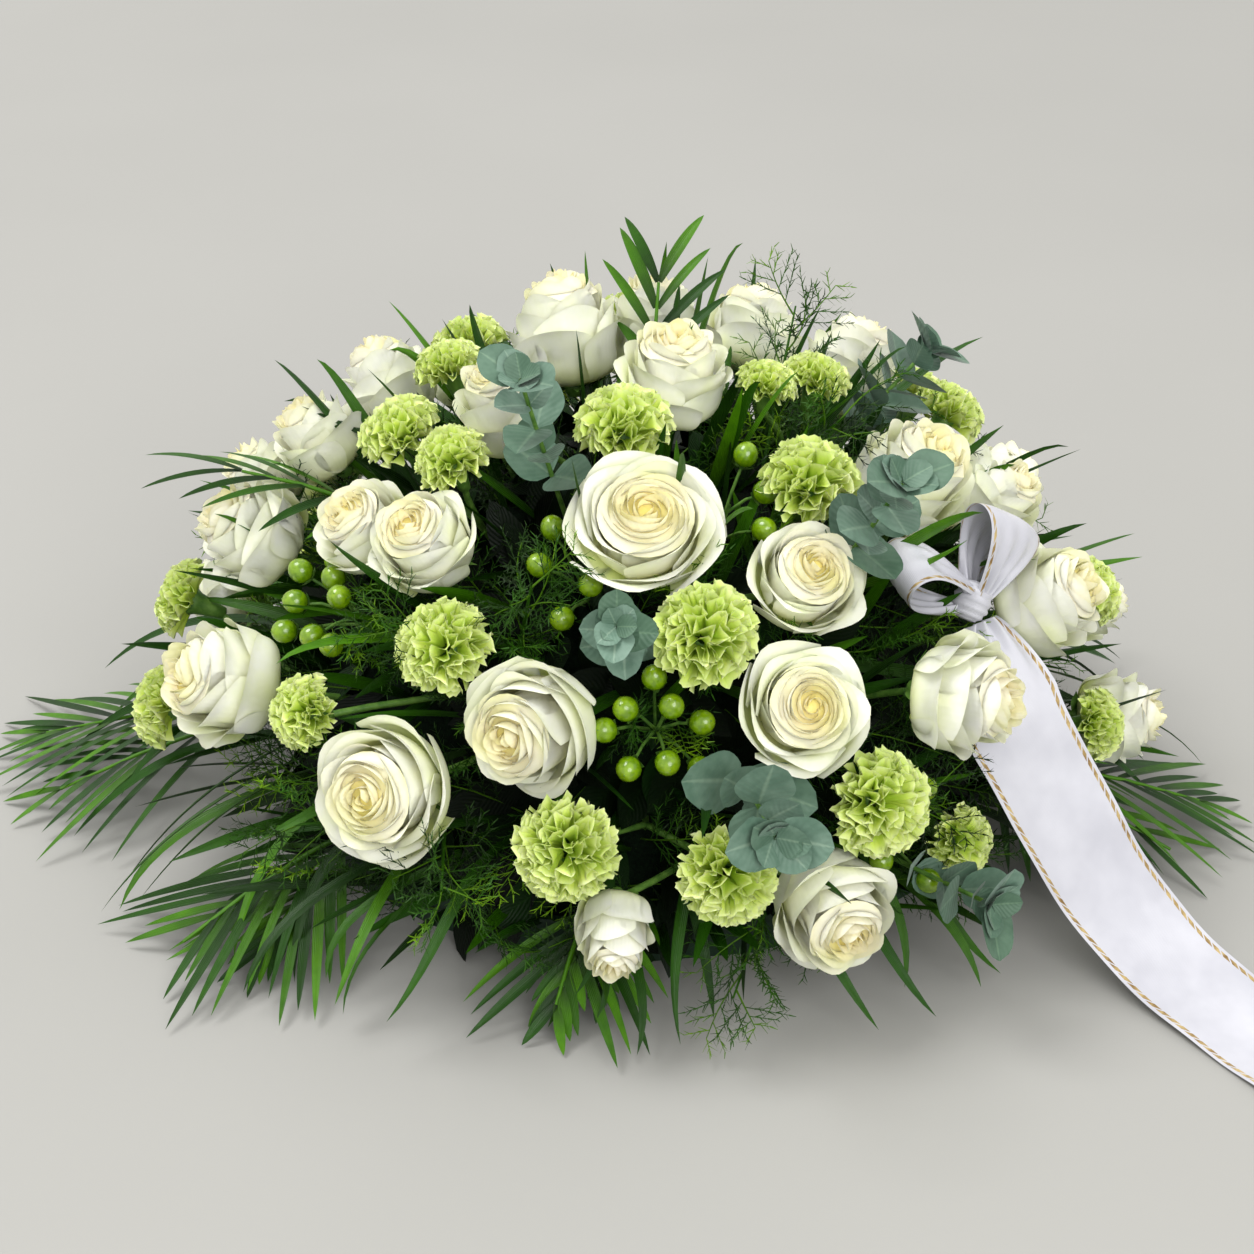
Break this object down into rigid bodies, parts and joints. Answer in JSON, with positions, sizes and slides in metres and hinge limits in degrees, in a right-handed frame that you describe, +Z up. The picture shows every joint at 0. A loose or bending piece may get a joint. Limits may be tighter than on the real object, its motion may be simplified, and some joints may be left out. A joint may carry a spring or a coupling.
{
  "type": "funeral cushion arrangement",
  "caption": "Domed oval funeral cushion of white roses, green carnations, berries and mixed foliage in a foam-filled tray, with a white ribbon bow and a trailing tail.",
  "frame": {"origin": "centre of the tray's flat underside, on the surface that the arrangement stands on", "axes": "+Z up, -Y towards the front, +X to the right, along the longest extent"},
  "size_m": [0.8534, 0.71, 0.3465],
  "materials": {
    "white_petals": "soft matte ivory petals",
    "green_petals": "matte lime green petals",
    "berry_skin": "glossy green skin",
    "eucalyptus_leaves": "waxy blue-green leaves",
    "palm_leaves": "glossy dark green leaves",
    "fern_leaves": "fine mid-green needles",
    "ribbon": "white satin with gold edge lines",
    "foam": "dark green floral foam",
    "tray": "dark green moulded plastic"
  },
  "bodies": {
    "root": {"roses_01": "white_petals", "roses_02": "white_petals", "roses_03": "white_petals", "roses_04": "white_petals", "roses_05": "white_petals", "roses_06": "white_petals", "roses_07": "white_petals", "roses_08": "white_petals", "roses_09": "white_petals", "roses_10": "white_petals", "roses_11": "white_petals", "roses_12": "white_petals", "roses_13": "white_petals", "roses_14": "white_petals", "roses_15": "white_petals", "roses_16": "white_petals", "roses_17": "white_petals", "roses_18": "white_petals", "roses_19": "white_petals", "carnations_01": "green_petals", "carnations_02": "green_petals", "carnations_03": "green_petals", "carnations_04": "green_petals", "carnations_05": "green_petals", "carnations_06": "green_petals", "carnations_07": "green_petals", "carnations_08": "green_petals", "carnations_09": "green_petals", "carnations_10": "green_petals", "carnations_11": "green_petals", "carnations_12": "green_petals", "carnations_13": "green_petals", "carnations_14": "green_petals", "berries_01": "berry_skin", "berries_02": "berry_skin", "berries_03": "berry_skin", "berries_04": "berry_skin", "berries_05": "berry_skin", "eucalyptus_01": "eucalyptus_leaves", "eucalyptus_02": "eucalyptus_leaves", "eucalyptus_03": "eucalyptus_leaves", "eucalyptus_04": "eucalyptus_leaves", "eucalyptus_05": "eucalyptus_leaves", "eucalyptus_06": "eucalyptus_leaves", "palm_01": "palm_leaves", "palm_02": "palm_leaves", "palm_03": "palm_leaves", "palm_04": "palm_leaves", "palm_05": "palm_leaves", "palm_06": "palm_leaves", "palm_07": "palm_leaves", "fern_01": "fern_leaves", "fern_02": "fern_leaves", "fern_03": "fern_leaves", "fern_04": "fern_leaves", "fern_05": "fern_leaves", "ribbon_tail": "ribbon", "ribbon_bow": "ribbon", "foam": "foam", "tray": "tray"}
  },
  "joints": []
}
